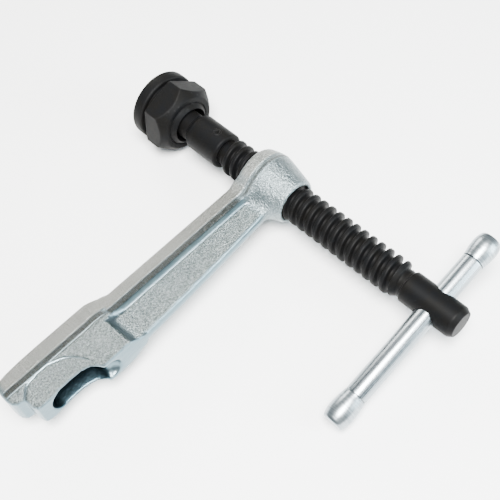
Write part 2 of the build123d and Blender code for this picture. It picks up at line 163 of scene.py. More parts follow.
def level_surface(field, low, high, step, settle=4):
    """The closed surface where a field is zero.

    The field is sampled on a cubic grid. Every cell with samples of both signs gets one
    vertex, at the mean of the zero points on its edges. Every grid edge whose ends differ
    in sign gets one quad, between the four cells around it. Each vertex then moves along
    the field's gradient, by field over squared gradient, until it lies on the surface.
    """
    low = np.asarray(low, float)
    counts = np.ceil((np.asarray(high, float) - low) / step).astype(int) + 1
    axes = [low[i] + step * np.arange(counts[i]) for i in range(3)]
    x, y, z = np.meshgrid(*axes, indexing="ij", sparse=True)
    values = np.broadcast_to(field(x, y, z), counts).copy()
    cells = counts - 1
    total = np.zeros((*cells, 3))
    hits = np.zeros(cells, int)
    for axis in range(3):
        others = [i for i in range(3) if i != axis]
        for first in (0, 1):
            for second in (0, 1):
                corner = [0, 0, 0]
                corner[others[0]], corner[others[1]] = first, second
                near = tuple(slice(corner[i], corner[i] + cells[i]) for i in range(3))
                corner[axis] = 1
                far = tuple(slice(corner[i], corner[i] + cells[i]) for i in range(3))
                start, end = values[near], values[far]
                mixed = (start < 0) != (end < 0)
                share = np.where(mixed, start / np.where(mixed, start - end, 1), 0)
                hits += mixed
                total[..., axis] += share * mixed
                total[..., others[0]] += first * mixed
                total[..., others[1]] += second * mixed
    used = hits > 0
    number = np.full(cells, -1)
    number[used] = np.arange(used.sum())
    index = np.stack(np.nonzero(used), axis=1)
    points = low + step * (index + total[used] / hits[used][:, None])
    quads = []
    for axis in range(3):
        b, c = (axis + 1) % 3, (axis + 2) % 3
        span = [slice(1, cells[i]) for i in range(3)]
        span[axis] = slice(0, cells[axis])
        ahead = list(span)
        ahead[axis] = slice(1, cells[axis] + 1)
        start, end = values[tuple(span)] < 0, values[tuple(ahead)] < 0
        at = np.stack(np.nonzero(start != end), axis=1)
        at[:, b] += 1
        at[:, c] += 1
        leaving = start[start != end]
        ring = []
        for shift_b, shift_c in ((-1, -1), (0, -1), (0, 0), (-1, 0)):
            cell = at.copy()
            cell[:, b] += shift_b
            cell[:, c] += shift_c
            ring.append(number[tuple(cell.T)])
        ring = np.stack(ring, axis=1)
        ring[~leaving] = ring[~leaving, ::-1]
        quads.append(ring)
    for _ in range(settle):
        lean = gradient(field, points)
        size = np.maximum((lean**2).sum(axis=1), 0.25)
        move = (field(*points.T) / size)[:, None] * lean
        points -= np.clip(move, -0.6 * step, 0.6 * step)
    return points, np.concatenate(quads)


def rounded(corners, radius, steps=5):
    """An open outline with its inner corners rounded: each becomes a parabolic arc that
    starts and ends at radius from it, or at 45% of a shorter run. radius may be a list."""
    corners = np.asarray(corners, float)
    radii = np.broadcast_to(radius, len(corners))
    share = np.linspace(0, 1, steps)[:, None]
    line = [corners[:1]]
    for before, corner, after, size in zip(corners, corners[1:], corners[2:], radii[1:]):
        back, ahead = before - corner, after - corner
        back_length, ahead_length = np.hypot(*back), np.hypot(*ahead)
        start = corner + back / back_length * min(size, 0.45 * back_length)
        end = corner + ahead / ahead_length * min(size, 0.45 * ahead_length)
        line.append((1 - share) ** 2 * start + 2 * share * (1 - share) * corner + share**2 * end)
    line.append(corners[-1:])
    return np.concatenate(line)


def grid_quads(rows, width, closed):
    """Quads between neighbouring rows of a grid of points that is stored row by row. In a
    closed grid the last point of each row joins the first."""
    row = np.arange(rows - 1)[:, None] * width
    here = np.arange(width if closed else width - 1)[None, :]
    following = (here + 1) % width
    corners = (row + here, row + following, row + width + following, row + width + here)
    return np.stack(corners, axis=-1).reshape(-1, 4)


def box_about_axis(front_x, rear_x, radius, step):
    """Corners of a sampling box about the screw axis, with two steps of room all round."""
    room = 2 * step
    reach = radius + room
    return (front_x - room, -reach, -reach), (rear_x + room, reach, reach)


def lathe(outline, segments=96):
    """An outline of (x, r) points turned about the X axis: y = r cos t, z = r sin t."""
    outline = np.asarray(outline, float)
    angle = np.linspace(0, 2 * math.pi, segments, endpoint=False)
    x = np.repeat(outline[:, 0], segments)
    y = np.outer(outline[:, 1], np.cos(angle)).ravel()
    z = np.outer(outline[:, 1], np.sin(angle)).ravel()
    return np.stack([x, y, z], axis=1), grid_quads(len(outline), segments, closed=True)


def make_piece(name, points, quads, body, material, nodes, layers=None, weld=True):
    """Put a surface into a mesh object in the part's frame, facing outwards."""
    mesh = bpy.data.meshes.new(name)
    placed = points * MM + SCREW_POINT
    mesh.from_pydata(placed.tolist(), [], quads.tolist())
    for layer, values in (layers or {}).items():
        attribute = mesh.attributes.new(layer, "FLOAT", "POINT")
        attribute.data.foreach_set("value", np.ascontiguousarray(values, np.float32))
    work = bmesh.new()
    work.from_mesh(mesh)
    if weld:
        bmesh.ops.remove_doubles(work, verts=work.verts, dist=2e-6)
        bmesh.ops.dissolve_degenerate(work, edges=work.edges, dist=1e-6)
    bmesh.ops.recalc_face_normals(work, faces=work.faces)
    if work.calc_volume(signed=True) < 0:
        bmesh.ops.reverse_faces(work, faces=work.faces)
    work.to_mesh(mesh)
    work.free()
    mesh.polygons.foreach_set("use_smooth", np.ones(len(mesh.polygons), bool))
    mesh.materials.append(material)
    piece = bpy.data.objects.new(name, mesh)
    bpy.context.scene.collection.objects.link(piece)
    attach(piece, body)
    if nodes:
        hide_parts(*nodes)
    return piece


# ------------------------------------------------------------------- the arm

FLANGE_FRONT_X = -22.4
FLANGE_CREST = (-12.2, 8.35)
FLANGE_SHOULDER = (-21.4, 5.5)
FLANGE_TRIM_REAR = (-8.9, 8.35)
FLANGE_FOOT = (-7.7, 4.2)
WEB_HALF = 4.3
WEB_TAPER = 0.035
WEB_TAPER_X = -8.0
WEB_FRONT_X = -12.0
BEAM_START_A = 4.0
BEAM_END_A = 130.0
BOSS_R = 18.7
BOSS_FRONT_X = -21.6
BOSS_REAR_X = 12.0
BOSS_FRONT_CONE = ((-20.4, 16.9), (-12.9, BOSS_R))
BOSS_REAR_CONE = ((-8.7, BOSS_R), (10.7, 13.8))
SEAM_X = -9.8
SEAM_WIDTH = 0.9
SEAM_HEIGHT = 0.12
HEAD_CREST = (-14.2, 9.9)
HEAD_SHOULDER = (-25.6, 6.2)
HEAD_TRIM_REAR = (-11.5, 9.9)
HEAD_RIM = (12.4, 9.1)
HEAD_RISE = ((116.0, 3.6), (125.2, 9.6))
HEAD_TEXTURE_A = 120
HEAD_END_A = 190.1
SLOT_HALF_LENGTH = 16.8
SLOT_R = 7.8
SLOT_RIM_X = 5.0
SLOT_DRAFT = 0.0928
COLLAR_HALF = 8.9
COLLAR_END_A = 182.7
SCOOP_X = 14.6
SCOOP_A = 139.6
SCOOP_R = 7.2
BORE_R = 11.2
BORE_MOUTH = 1.1
HEAD_PLAN = (
    (-22.3, 116.0),
    (-22.6, 119.0),
    (-24.2, 122.5),
    (-26.0, 126.0),
    (-26.35, 130.0),
    (-26.35, 161.0),
    (-25.9, 171.0),
    (-25.0, 181.0),
    (-23.6, 186.4),
    (-20.2, 189.4),
    (-15.6, 190.5),
    (-11.0, 190.5),
    (-6.6, 188.8),
    (-4.4, 186.0),
    (-3.6, 182.0),
    (-9.4, 176.6),
    (-10.4, 171.0),
    (-10.9, 166.0),
    (-10.5, 161.0),
    (-9.2, 157.6),
    (-7.7, 154.0),
    (-5.0, 150.8),
    (-1.9, 148.0),
    (1.5, 146.0),
    (5.4, 144.4),
    (9.0, 143.4),
    (12.35, 142.0),
    (12.35, 116.0),
)
COLLAR_PLAN = (
    (12.35, 128.0),
    (12.3, 141.2),
    (9.8, 143.6),
    (6.6, 147.4),
    (5.2, 151.9),
    (4.7, 158.0),
    (5.0, 165.8),
    (5.6, 172.0),
    (5.7, 177.0),
    (4.9, 180.2),
    (2.4, 182.0),
    (-2.0, 182.6),
    (-14.0, 183.0),
    (-14.0, 128.0),
)


def arm_rear(a):
    """Rear edge of the web: a parabola in the distance down the arm."""
    return 3.59 + 0.1021 * a - 0.000254 * a * a


def arm_beam(x, a, height):
    """Flanged beam: planes of the drafted front flange and its trimmed crest, blended
    into a thin web whose rear edge is fully rounded."""
    flange = smooth_max(
        0.5,
        slope(x, height, FLANGE_SHOULDER, FLANGE_CREST),
        height - FLANGE_CREST[1],
        slope(x, height, FLANGE_TRIM_REAR, FLANGE_FOOT),
    )
    flange = smooth_max(2.6, flange, FLANGE_FRONT_X - x)
    web_half = WEB_HALF - WEB_TAPER * (x - WEB_TAPER_X)
    web = smooth_max(3.2, height - web_half, x - arm_rear(a), WEB_FRONT_X - x)
    beam = smooth_min(flange, web, 1.4)
    return smooth_max(1.0, beam, a - BEAM_END_A, BEAM_START_A - a)


def arm_boss(x, a, z):
    """Boss: cones and a trim band turned about the screw axis."""
    radius = np.hypot(a, z)
    side = smooth_max(
        0.8,
        slope(x, radius, *BOSS_FRONT_CONE),
        radius - BOSS_R,
        slope(x, radius, *BOSS_REAR_CONE),
    )
    solid = smooth_max(2.6, side, BOSS_FRONT_X - x, x - BOSS_REAR_X)
    return solid - SEAM_HEIGHT * np.exp(-(((x - SEAM_X) / SEAM_WIDTH) ** 2))


def arm_head(x, a, height):
    """Slotted head: an upper body bounded by its plan and drafted planes, joined to a
    lower collar around the slot. Both ends are rounded over."""
    body = smooth_max(
        0.6,
        slope(x, height, HEAD_SHOULDER, HEAD_CREST),
        height - HEAD_CREST[1],
        slope(x, height, HEAD_TRIM_REAR, HEAD_RIM),
    )
    body = smooth_max(1.6, body, slope(a, height, *HEAD_RISE))
    body = smooth_max(1.2, body, polygon_distance(x, a, HEAD_PLAN))
    body = smooth_max(5.0, body, a - HEAD_END_A)
    collar = smooth_max(1.4, height - COLLAR_HALF, polygon_distance(x, a, COLLAR_PLAN))
    collar = smooth_max(3.4, collar, a - COLLAR_END_A)
    return smooth_min(body, collar, 1.1)


def slot_distance(x, a, z):
    """Distance from the wall of the drafted slot, negative inside the slot."""
    from_axis = np.hypot(np.maximum(np.abs(a - SLOT_CENTRE_A) - (SLOT_HALF_LENGTH - SLOT_R), 0), z)
    return from_axis - SLOT_R - SLOT_DRAFT * (x - SLOT_RIM_X)


def arm_field(x, y, z):
    """The whole forging: beam, boss and head joined with fillets, less the rail slot, the
    scoop at the slot's upper end and the machined bore with its two chamfers."""
    a = -y
    height = np.sqrt(z * z + 0.01)
    beam = arm_beam(x, a, height)
    solid = smooth_min(beam, arm_head(x, a, height), 4.2)
    solid = smooth_min(solid, arm_boss(x, a, z), 5.5)
    solid = smooth_max(1.2, solid, ARM_FRONT_X - x, x - ARM_REAR_X)
    scoop = np.sqrt((x - SCOOP_X) ** 2 + (a - SCOOP_A) ** 2 + z * z) - SCOOP_R
    solid = smooth_max(0.7, solid, -smooth_min(slot_distance(x, a, z), scoop, 1.5))
    radius = np.hypot(a, z)
    bore = BORE_R - radius
    rear_mouth = (BORE_R + BORE_MOUTH - BOSS_REAR_X + x - radius) * CHAMFER_SLOPE
    front_mouth = (BORE_R + BORE_MOUTH + BOSS_FRONT_X - x - radius) * CHAMFER_SLOPE
    solid = smooth_max(0.6, solid, a - ARM_LENGTH)
    return smooth_max(0.15, solid, np.maximum(bore, np.maximum(rear_mouth, front_mouth)))


def smooth_step(values, low, high):
    """Rise from 0 at low to 1 at high, level at both ends."""
    share = np.clip((values - low) / (high - low), 0, 1)
    return share * share * (3 - 2 * share)


def arm_layers(points, normals):
    """Where each surface texture of the forging lies, and where painted reflection, painted shade and painted
    warm light go, from 0 to 1 for each vertex.
    """
    x, a, z = points[:, 0], -points[:, 1], points[:, 2]
    flat = smooth_step(np.abs(normals[:, 2]), 0.86, 0.97)
    boss = 1 - smooth_step(a, 17.0, 24.0)
    beam = a < HEAD_TEXTURE_A
    crest = np.where(beam, FLANGE_CREST[1], HEAD_CREST[1])
    rear_limit = np.where(beam, FLANGE_TRIM_REAR[0], HEAD_TRIM_REAR[0])
    front_limit = np.where(beam, FLANGE_CREST[0], HEAD_CREST[0])
    trim = (
        smooth_step(x, front_limit - 0.5, front_limit + 0.2)
        * (1 - smooth_step(x, rear_limit - 0.2, rear_limit + 0.4))
        * smooth_step(np.abs(z), crest - 1.2, crest - 0.5)
        * smooth_step(a, 20.0, 26.0)
    )
    behind = smooth_step(x, rear_limit + 0.2, rear_limit + 1.6)
    seam = boss * smooth_step(x, -10.9, -10.3) * (1 - smooth_step(x, -9.0, -8.4))
    trim = np.maximum(trim, 0.75 * seam)
    grain = np.maximum(flat * behind * (1 - boss), 0.45 * boss)
    # Front faces: real flow marks and grit go into the height below; their lighter, warm tone is painted
    # light falling from the pad side
    front = (1 - smooth_step(x, front_limit - 1.0, front_limit)) * smooth_step(normals[:, 2] ** 2, 0.3, 0.7)
    # Painted shade: the walls of the rail slot get a dark teal tone that stands for the shade inside the slot
    wall = slot_distance(x, a, z)
    slot = (1 - smooth_step(wall, 0.1, 0.5)) * (1 - smooth_step(np.abs(z), 7.9, 8.4))
    slot = slot * smooth_step(a, 132.0, 136.0)
    # Painted reflection and shade: faces turned sideways behind the trim line, and the head's lower end, get
    # a darker teal tone that stands for the sky's reflection there
    side = (1 - smooth_step(np.abs(normals[:, 2]), 0.35, 0.8)) * smooth_step(x, -9.0, -6.0)
    side = np.maximum(side * (1 - boss), smooth_step(a, 184.0, 188.0))
    grain = grain * (1 - slot)
    return {"trim": trim, "grain": grain, "front": front, "slot": slot, "side": side}


# -------------------------------------------------------------- the spindle

THREAD_PITCH = 6.0
THREAD_START_X = -41.4
THREAD_END_X = 90.0
THREAD_CREST_R = 11.0
THREAD_ROOT_R = 8.1
THREAD_CREST_HALF = 1.1
THREAD_ROOT_HALF = 1.88
JOURNAL_R = 7.0
RELIEF_R = 7.9
HEAD_START_X = 93.4
SPINDLE_HEAD_R = 9.4
HEAD_CHAMFER = (3.0, 1.7)
CROSS_HOLE_R = 6.26
CROSS_HOLE_MOUTH = 0.3


def thread_surface(first_x, last_x, segments=72):
    """A trapezoidal ridge carried along a right-hand helix: x = profile offset + pitch
    times t / 2 pi, y = r sin t, z = -r cos t, with r cut down to a tapered run-out near
    both ends and x held between them."""
    profile = rounded(
        (
            (0.0, THREAD_CREST_R),
            (THREAD_CREST_HALF, THREAD_CREST_R),
            (THREAD_ROOT_HALF, THREAD_ROOT_R),
            (THREAD_PITCH - THREAD_ROOT_HALF, THREAD_ROOT_R),
            (THREAD_PITCH - THREAD_CREST_HALF, THREAD_CREST_R),
            (THREAD_PITCH, THREAD_CREST_R),
        ),
        0.55,
        4,
    )
    turns = int((last_x - first_x) / THREAD_PITCH) + 4
    step = np.arange(-2 * segments, (turns - 2) * segments + 1)
    angle = step * 2 * math.pi / segments
    x = profile[:, 0][None, :] + THREAD_START_X + THREAD_PITCH * angle[:, None] / (2 * math.pi)
    radius = np.broadcast_to(profile[:, 1][None, :], x.shape)
    ridge = np.interp(
        x,
        (THREAD_START_X - 0.6, THREAD_START_X + 1.4, THREAD_END_X - 3.4, THREAD_END_X + 1.2),
        (THREAD_ROOT_R, THREAD_CREST_R, THREAD_CREST_R, THREAD_ROOT_R),
    )
    radius = np.minimum(radius, ridge)
    x = np.clip(x, first_x, last_x)
    y = radius * np.sin(angle)[:, None]
    z = -radius * np.cos(angle)[:, None]
    points = np.stack([x, y, z], axis=-1).reshape(-1, 3)
    quads = grid_quads(len(step), len(profile), closed=False)
    spread = points[quads][:, :, 0]
    held = (np.ptp(spread, axis=1) < 1e-6) & ((spread[:, 0] <= first_x) | (spread[:, 0] >= last_x))
    return points, quads[~held]


def head_field(x, y, z):
    """Plain head: a cylinder with a large end chamfer and a small shoulder, less the
    cross hole and its two chamfered mouths."""
    radius = np.hypot(y, z)
    side = radius - SPINDLE_HEAD_R
    end_chamfer = slope(
        x,
        radius,
        (SPINDLE_HEAD_X - HEAD_CHAMFER[0], SPINDLE_HEAD_R),
        (SPINDLE_HEAD_X, SPINDLE_HEAD_R - HEAD_CHAMFER[1]),
    )
    shoulder = slope(x, radius, (HEAD_START_X, SPINDLE_HEAD_R - 0.7), (HEAD_START_X + 0.7, SPINDLE_HEAD_R))
    solid = smooth_max(0.22, side, end_chamfer, shoulder, x - SPINDLE_HEAD_X, HEAD_START_X - x)
    along = y * HANDLE_AXIS[1] + z * HANDLE_AXIS[2]
    off = np.hypot(x - HANDLE_X, y * HANDLE_AXIS[2] - z * HANDLE_AXIS[1])
    hole = CROSS_HOLE_R - off
    mouth = (CROSS_HOLE_R + CROSS_HOLE_MOUTH + np.abs(along) - SPINDLE_HEAD_R - off) * CHAMFER_SLOPE
    return smooth_max(0.15, solid, np.maximum(hole, mouth))


# ------------------------------------------------------------ the swivel pad

SLEEVE_R = 11.35
SLEEVE_FRONT_X = -69.3
SLEEVE_NOSE_X = -71.8
STUD_NECK_R = 8.8
STUD_FLANGE_X = -86.5
STUD_BALL_R = 15.0
PIN_X = -53.3
PIN_ANGLE = math.radians(82.6)
PIN_R = 2.4
PIN_BORE_R = 1.25
PIN_HOLE_FIT = 0.12
PIN_SLIT_HALF = 0.3
PIN_RIM = 0.18
PIN_HALF_LENGTH = 11.15
SWIVEL_R = 17.5
SWIVEL_BORE_R = 11.6
SWIVEL_REAR_X = -77.4
NUT_CORNER_R = 23.4
NUT_FIRST_CORNER = math.radians(19.8)
NUT_CONE_X = -86.1
NUT_REAR_R = 17.8
NUT_MOUTH_R = 14.4
DISC_R = 21.8
DISC_REAR_X = -99.2
DISC_BOSS_R = 18.58
CUP_FLOOR_X = -103.4
BALL_FIT = 0.05


def ball_radius(sphere_r, x):
    """Distance from the screw axis to a sphere about the tilt centre."""
    return math.sqrt(sphere_r**2 - (x - TILT_X) ** 2)


def pin_coordinates(y, z):
    """Distance along the roll pin's axis, and across it."""
    along = y * math.cos(PIN_ANGLE) + z * math.sin(PIN_ANGLE)
    across = -y * math.sin(PIN_ANGLE) + z * math.cos(PIN_ANGLE)
    return along, across


def sleeve_field(x, y, z):
    """Sleeve: a cylinder with a long front chamfer, a recessed rear bore, and the hole
    for the roll pin right through it."""
    radius = np.hypot(y, z)
    solid = smooth_max(
        0.45,
        radius - SLEEVE_R,
        slope(x, radius, (SLEEVE_NOSE_X, STUD_NECK_R + 0.5), (SLEEVE_FRONT_X, SLEEVE_R)),
        slope(x, radius, (SLEEVE_REAR_X - 0.9, SLEEVE_R), (SLEEVE_REAR_X, SLEEVE_R - 0.9)),
        x - SLEEVE_REAR_X,
        SLEEVE_NOSE_X - x,
    )
    recess = smooth_max(0.3, radius - (JOURNAL_R + 0.9), SLEEVE_REAR_X - 1.6 - x)
    along, across = pin_coordinates(y, z)
    hole = np.hypot(x - PIN_X, across) - (PIN_R + PIN_HOLE_FIT)
    mouth = (np.hypot(x - PIN_X, across) - PIN_R - 0.35 - np.abs(along) + SLEEVE_R) * CHAMFER_SLOPE
    return smooth_max(0.15, solid, -recess, -np.minimum(hole, mouth))


def nut_field(x, y, z):
    """Gland nut: six flats and the conical chamfer, less the round mouth and the space
    for the swivel ring behind it."""
    radius = np.hypot(y, z)
    angle = np.arctan2(z, y) - NUT_FIRST_CORNER
    sector = math.pi / 3
    from_flat = np.mod(angle, sector) - sector / 2
    flats = radius * np.cos(from_flat) - NUT_CORNER_R * math.cos(math.pi / 6)
    cone = slope(x, radius, (NUT_CONE_X, NUT_CORNER_R), (NUT_REAR_X, NUT_REAR_R))
    front = slope(x, radius, (NUT_FRONT_X, NUT_CORNER_R - 0.8), (NUT_FRONT_X + 0.4, NUT_CORNER_R))
    solid = smooth_max(0.5, flats, cone, front, x - NUT_REAR_X, NUT_FRONT_X - x)
    ball = np.hypot(x - TILT_X, radius) - (SWIVEL_R + BALL_FIT)
    mouth = (radius - NUT_MOUTH_R - 0.25) - (x - NUT_REAR_X) * 0.6
    seat = smooth_max(0.2, ball, NUT_FRONT_X + 7.0 - x)
    inside = np.minimum(seat, smooth_max(0.3, mouth, NUT_REAR_X - 1.2 - x))
    thread = smooth_max(0.3, radius - (DISC_BOSS_R + 0.02), x - (NUT_FRONT_X + 9.0))
    return smooth_max(0.3, solid, -np.minimum(inside, thread))


# ---------------------------------------------------------------- finishes


class Socket:
    """A node socket that can be used in Python expressions."""

    def __init__(self, shader, link):
        self.shader = shader
        self.link = link

    def _math(self, operation, *values):
        """Add one Math node."""
        return self.shader.node("ShaderNodeMath", {"operation": operation}, values)[0]

    def __add__(self, other):
        return self._math("ADD", self, other)

    def __radd__(self, other):
        return self._math("ADD", other, self)

    def __sub__(self, other):
        return self._math("SUBTRACT", self, other)

    def __rsub__(self, other):
        return self._math("SUBTRACT", other, self)

    def __mul__(self, other):
        return self._math("MULTIPLY", self, other)

    def __rmul__(self, other):
        return self._math("MULTIPLY", other, self)

    def clamp(self, low, high):
        """Map low..high onto 0..1 and hold it there."""
        settings = {"clamp": True}
        return self.shader.node("ShaderNodeMapRange", settings, (self, low, high, 0.0, 1.0))[0]


SOCKET_NAMES = {"specular_ior_level": "Specular IOR Level"}
MIX_SHARE = 0
MIX_FIRST = 6
MIX_SECOND = 7
MIX_RESULT = 2
OBJECT_COORDINATES = 3
ATTRIBUTE_VALUE = 2
POINTINESS = 7


class Finish:
    """A node material built from expressions."""

    def __init__(self, name):
        self.material = bpy.data.materials.new(name)
        self.material.use_nodes = True
        self.nodes = self.material.node_tree.nodes
        self.links = self.material.node_tree.links
        self.surface = self.nodes["Principled BSDF"]

    def node(self, kind, settings=None, inputs=()):
        """Add a node: its settings first, then its inputs by order or by name."""
        made = self.nodes.new(kind)
        for key, value in (settings or {}).items():
            setattr(made, key, value)
        pairs = inputs.items() if isinstance(inputs, dict) else enumerate(inputs)
        for key, value in pairs:
            self._feed(made.inputs[key], value)
        return [Socket(self, output) for output in made.outputs]

    def _feed(self, target, value):
        """Link a socket, or set a constant."""
        if isinstance(value, Socket):
            self.links.new(value.link, target)
        else:
            target.default_value = value

    def place(self, stretch=(1, 1, 1), turn=(0, 0, 0)):
        """Object coordinates in millimetres, stretched and turned."""
        point = self.node("ShaderNodeTexCoord")[OBJECT_COORDINATES]
        scale = tuple(MM / value for value in stretch)
        inputs = {"Vector": point, "Scale": scale, "Rotation": turn}
        return self.node("ShaderNodeMapping", {"vector_type": "TEXTURE"}, inputs)[0]

    def noise(self, where, scale, detail=3.0, roughness=0.55, distortion=0.0):
        """Fractal noise, centred on a half."""
        inputs = {"Vector": where, "Scale": scale, "Detail": detail}
        inputs |= {"Roughness": roughness, "Distortion": distortion}
        return self.node("ShaderNodeTexNoise", {}, inputs)[0]

    def cells(self, where, scale, smoothness):
        """Distance to the nearest point of a scattered set, with soft borders."""
        inputs = {"Vector": where, "Scale": scale, "Smoothness": smoothness}
        return self.node("ShaderNodeTexVoronoi", {"feature": "SMOOTH_F1"}, inputs)[0]

    def layer(self, name):
        """The value that each vertex has in a named layer."""
        return self.node("ShaderNodeAttribute", {"attribute_name": name})[ATTRIBUTE_VALUE]

    def blend(self, share, first, second):
        """First colour turning to second as share goes from 0 to 1."""
        colours = [colour if isinstance(colour, Socket) else (*colour, 1) for colour in (first, second)]
        inputs = {MIX_SHARE: share, MIX_FIRST: colours[0], MIX_SECOND: colours[1]}
        return self.node("ShaderNodeMix", {"data_type": "RGBA"}, inputs)[MIX_RESULT]

    def bump(self, height, depth_mm, strength):
        """A normal tilted by the slope of a height."""
        inputs = {"Height": height, "Distance": depth_mm * MM, "Strength": strength}
        return self.node("ShaderNodeBump", {}, inputs)[0]

    def edge(self, soft=0.06):
        """How far a place is on a sharp outer edge, from the pointiness of the mesh; the black finishes paint
        a highlight there.
        """
        pointiness = self.node("ShaderNodeNewGeometry")[POINTINESS]
        return pointiness.clamp(0.5 + soft * 0.25, 0.5 + soft)

    def set(self, **values):
        """Feed sockets of the surface, and return the material."""
        for key, value in values.items():
            socket = self.surface.inputs[SOCKET_NAMES.get(key, key.replace("_", " ").title())]
            if isinstance(value, tuple) and len(value) == 3:
                value = (*value, 1)
            self._feed(socket, value)
        return self.material


def zinc_forging(settings):
    """Bright zinc over a forging: blasted grain on the flats, sheared trim lines, smooth
    drafted sides with faint flow marks. The drafted front faces get a lighter warm tone that is painted
    light, the sideways rear faces and the head's lower end a darker teal tone that is painted reflection and
    shade, and the slot walls a dark teal tone that is painted shade."""
    made = Finish("zinc_forging")
    point = made.place()
    grain, trim, front = made.layer("grain"), made.layer("trim"), made.layer("front")
    slot, side = made.layer("slot"), made.layer("side")
    broad = made.noise(point, 0.055, 3.0)
    cloud = made.noise(point, 0.35, 4.0, 0.6)
    pits = made.cells(point, 0.85, 0.6)
    pits = pits * 0.6 + made.noise(point, 1.5, 3.0, 0.65) * 0.8
    shear = made.noise(made.place((0.35, 2.6, 0.12)), 1.0, 3.0, 0.6, 0.4)
    flow = made.noise(made.place((0.12, 0.9, 0.12)), 1.0, 4.0, 0.6, 0.8)
    base = made.blend(broad.clamp(0.35, 0.65), settings.zinc_cool, settings.zinc_bright)
    # Painted light: lighter warm tone on the drafted front faces
    base = made.blend(front * 0.75, base, settings.zinc_front_painted_warm_light)
    # Painted reflection and shade: darker teal tone on the sideways rear faces and the head's lower end
    base = made.blend(side * 0.8, base, settings.zinc_side_painted_reflection)
    # Painted shade: dark teal tone on the slot walls
    base = made.blend(slot * 0.9, base, settings.zinc_slot_painted_shade)
    glitter = made.noise(point, 0.9, 2.0, 0.7)
    grit = made.blend(glitter.clamp(0.36, 0.68), settings.zinc_grain_dark, settings.zinc_grain_light)
    base = made.blend(grain * 0.8, base, grit)
    base = made.blend(trim * (shear.clamp(0.3, 0.7) * 0.45 + 0.55), base, settings.trim_colour)
    rough = 0.24 + cloud * 0.14 + grain * 0.10 + trim * 0.16 + front * 0.08
    grit_height = grain * pits * 1.2 + front * (flow * 0.5 + pits * 0.35)
    height = grit_height + trim * shear * 1.3 + cloud * 0.25 + flow * 0.12
    return made.set(
        base_color=base,
        metallic=1.0,
        roughness=rough,
        normal=made.bump(height, 1.0, 1.0),
    )


def black_oxide(settings, name, streak, rough_low=0.34):
    """Black oxide over machined steel: near black with a brown or blue bloom, fine marks
    along streak, and a thin painted highlight on outer edges."""
    made = Finish(name)
    point = made.place()
    bloom = made.noise(point, 0.12, 3.0)
    marks = made.noise(made.place(streak), 1.0, 3.0, 0.6)
    speck = made.noise(point, 1.8, 2.0)
    base = made.blend(bloom.clamp(0.35, 0.65), settings.oxide_brown, settings.oxide_blue)
    # Painted highlight: sharp outer edges turn lighter in speckled patches
    highlit = made.edge() * speck.clamp(0.35, 0.7)
    base = made.blend(highlit * 0.55, base, settings.oxide_edge_highlight)
    rough = rough_low + marks * 0.14 + bloom * 0.08 - highlit * 0.06
    height = marks * 0.6 + speck * 0.4
    return made.set(
        base_color=base,
        metallic=0.0,
        specular_ior_level=0.05,
        roughness=rough,
        normal=made.bump(height, 0.05, 0.6),
    )


def zinc_bar(settings, name, drawn, rough_low):
    """Bright zinc over bar: long streaks when drawn is true, partly drawing marks and
    partly painted streaky reflection along the bar, else turning marks round the bar."""
    made = Finish(name)
    tilt = math.atan2(HANDLE_AXIS[2] / HANDLE_AXIS[1], 1.0)
    across, along = (1.6, 0.02) if drawn else (0.1, 1.8)
    streak = made.place((across, along, across), (tilt, 0, 0))
    marks = made.noise(streak, 1.0, 4.0, 0.65)
    cloud = made.noise(made.place(), 0.25, 3.0)
    # Colour streaks: along the bar they stand partly for drawing marks and partly for painted streaky
    # reflection
    base = made.blend(marks.clamp(0.3, 0.7), settings.zinc_bar_dark, settings.zinc_bar_light)
    rough = rough_low + marks * 0.12 + cloud * 0.10
    return made.set(
        base_color=base,
        metallic=1.0,
        roughness=rough,
        normal=made.bump(marks * 0.7 + cloud * 0.3, 0.06, 0.6),
    )


def colour_property(name, description, default):
    """A colour that the user may change."""
    return bpy.props.FloatVectorProperty(
        name=name, description=description, default=default, subtype="COLOR", min=0.0, max=1.0
    )


class ClampFinishes(bpy.types.PropertyGroup):
    zinc_cool: colour_property("Zinc, cool", "Darker, bluish tone of the plated forging", (0.15, 0.20, 0.225))
    zinc_bright: colour_property("Zinc, bright", "Lighter tone of the plated forging", (0.20, 0.25, 0.268))
    # Painted light: warm tone of the drafted front faces where the light falls
    zinc_front_painted_warm_light: colour_property("Zinc, front", "Tone of the drafted front sides", (0.29, 0.28, 0.25))
    zinc_grain_dark: colour_property("Grain, dark", "Darker tone of the blasted flats", (0.11, 0.125, 0.12))
    zinc_grain_light: colour_property(
        "Grain, light", "Lighter tone of the blasted flats", (0.35, 0.38, 0.365)
    )
    # Painted reflection and shade: tone of the sideways rear faces and the head's lower end of the arm
    zinc_side_painted_reflection: colour_property("Sides", "Tone of the smooth drafted sides", (0.10, 0.155, 0.180))
    # Painted shade: tone of the walls of the rail slot
    zinc_slot_painted_shade: colour_property("Slot", "Tone of the slot walls", (0.045, 0.080, 0.100))
    trim_colour: colour_property("Trim line", "Tone of the sheared trim line", (0.050, 0.044, 0.034))
    oxide_brown: colour_property("Oxide, brown", "Warm tone of the black oxide", (0.0036, 0.0034, 0.0031))
    oxide_blue: colour_property("Oxide, blue", "Cool tone of the black oxide", (0.0030, 0.0032, 0.0036))
    # Painted highlight: tone of the sharp outer edges of the black pieces
    oxide_edge_highlight: colour_property(
        "Oxide, worn", "Tone of worn edges on the black pieces", (0.018, 0.018, 0.018)
    )
    # Streak tones of the bar: along the handle bar partly drawing marks, partly painted reflection
    zinc_bar_dark: colour_property("Bar, dark", "Darker streaks of the handle bar", (0.16, 0.19, 0.21))
    zinc_bar_light: colour_property("Bar, light", "Lighter streaks of the handle bar", (0.40, 0.44, 0.46))
    floor_colour: colour_property("Floor", "Colour of the floor", (0.97, 0.97, 0.97))


def length_property(name, description, default):
    """A length that the user may change."""
    return bpy.props.FloatProperty(
        name=name, description=description, default=default, min=0.0, unit="LENGTH"
    )


